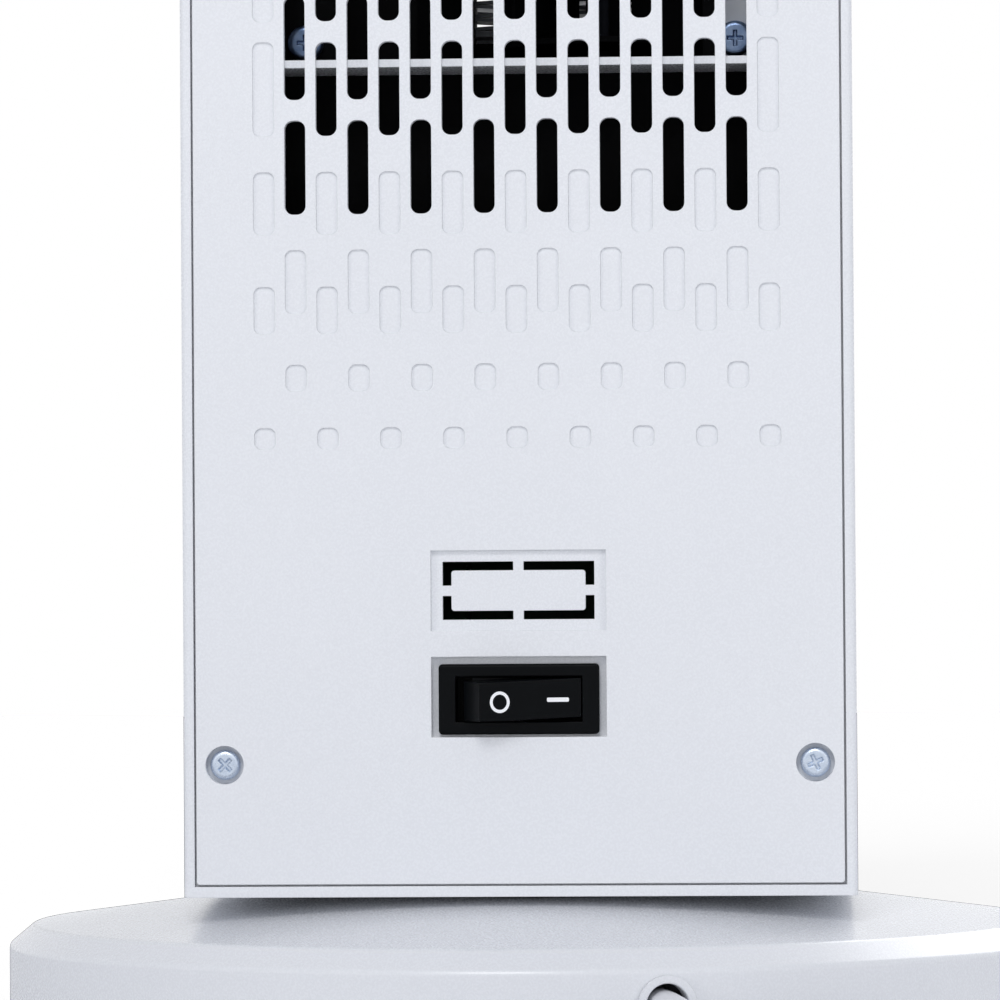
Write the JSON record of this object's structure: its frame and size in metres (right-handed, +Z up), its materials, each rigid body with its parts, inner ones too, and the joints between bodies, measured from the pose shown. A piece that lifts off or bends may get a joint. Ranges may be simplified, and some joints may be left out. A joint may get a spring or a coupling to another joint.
{
  "type": "ceramic fan heater",
  "caption": "Tower fan heater on a round swinging base, with a slotted back cover, rocker switch, top buttons, ceramic element and a coiled mains lead.",
  "frame": {"origin": "centre of the base's underside, on the floor under the swivel axis", "axes": "+Z up, -Y the heater's front with its grille, +Y its back with the switch and the lead, X along its width"},
  "size_m": [0.2509, 0.3665, 0.4704],
  "materials": {
    "white_plastic": "satin moulded",
    "black_plastic": "satin moulded",
    "cord_white": "smooth flexible sheath",
    "tie_black": "matt",
    "rubber": "matt",
    "steel": "zinc plated",
    "grey_metal": "satin",
    "brass": "bright",
    "aluminium": "bright",
    "ceramic": "matt",
    "smoked": "gloss",
    "board_green": "satin"
  },
  "bodies": {
    "base": {"base_shell": "white_plastic", "base_plate": "white_plastic", "rubber_feet": "rubber", "base_screws": "steel", "ballast_plates": "steel", "slip_ring": "black_plastic", "oscillation_motor": "steel", "oscillation_motor_screws": "steel", "cord_bushing": "white_plastic", "cord_clamp": "white_plastic", "cord_clamp_screws": "steel", "inner_lead": "cord_white", "mains_lead": "cord_white", "cord_coil": "cord_white", "cord_tail": "cord_white", "cord_tie": "tie_black", "plug": "cord_white", "plug_pins": "brass"},
    "crank": {"oscillation_crank": "black_plastic"},
    "tower": {"housing_shell": "white_plastic", "rear_cover": "white_plastic", "front_grille": "white_plastic", "top_cover": "white_plastic", "fan_deck": "white_plastic", "fan_top_plate": "white_plastic", "swivel_hub": "white_plastic", "bearing_bush": "white_plastic", "scroll_wall": "white_plastic", "tongue_plate": "white_plastic", "terminal_block": "white_plastic", "fan_duct": "black_plastic", "motor_shroud": "black_plastic", "switch_housing": "black_plastic", "heater_frame": "black_plastic", "tilt_switch": "black_plastic", "hub_screws": "steel", "swivel_screws": "steel", "rear_cover_screws": "steel", "deck_screws": "steel", "duct_screws": "steel", "fan_motor_screws": "steel", "swivel_plate": "steel", "side_bracket": "grey_metal", "fan_motor": "grey_metal", "switch_terminals": "brass", "thermal_cutout": "brass", "heater_fins": "aluminium", "heater_stones": "ceramic", "display_window": "smoked", "control_board": "board_green", "power_board": "board_green"},
    "fan": {"fan_wheel": "black_plastic", "fan_shaft": "steel", "motor_rotor": "steel"},
    "rocker": {"switch_rocker": "black_plastic"},
    "power_button": {"power_button": "white_plastic"},
    "mode_button": {"mode_button": "white_plastic"},
    "timer_button": {"timer_button": "white_plastic"},
    "swing_button": {"swing_button": "white_plastic"}
  },
  "joints": [
    {"name": "tower_swivel", "type": "hinge", "parent": "base", "child": "tower", "pos_m": [0, 0, 0], "axis": [0, 0, 1], "range_deg": [-30, 30]},
    {"name": "crank_turn", "type": "hinge", "parent": "base", "child": "crank", "pos_m": [0, -0.04, 0], "axis": [0, 0, 1], "range_deg": [-120, 120]},
    {"name": "fan_spin", "type": "hinge", "parent": "tower", "child": "fan", "pos_m": [-0.016, 0.008, 0], "axis": [0, 0, 1], "continuous": true},
    {"name": "rocker_tilt", "type": "hinge", "parent": "tower", "child": "rocker", "pos_m": [0, 0.055, 0.06775], "axis": [0, 0, 1], "range_deg": [-32, 0]},
    {"name": "power_button_press", "type": "slide", "parent": "tower", "child": "power_button", "axis": [0, 0, -1], "range_m": [0, 0.001], "stiffness_N_per_m": 300, "springref_m": -0.001},
    {"name": "mode_button_press", "type": "slide", "parent": "tower", "child": "mode_button", "axis": [0, 0, -1], "range_m": [0, 0.001], "stiffness_N_per_m": 300, "springref_m": -0.001},
    {"name": "timer_button_press", "type": "slide", "parent": "tower", "child": "timer_button", "axis": [0, 0, -1], "range_m": [0, 0.001], "stiffness_N_per_m": 300, "springref_m": -0.001},
    {"name": "swing_button_press", "type": "slide", "parent": "tower", "child": "swing_button", "axis": [0, 0, -1], "range_m": [0, 0.001], "stiffness_N_per_m": 300, "springref_m": -0.001}
  ],
  "couplings": [
    {"joint": "crank_turn", "follows": "tower_swivel", "ratio": 4}
  ]
}
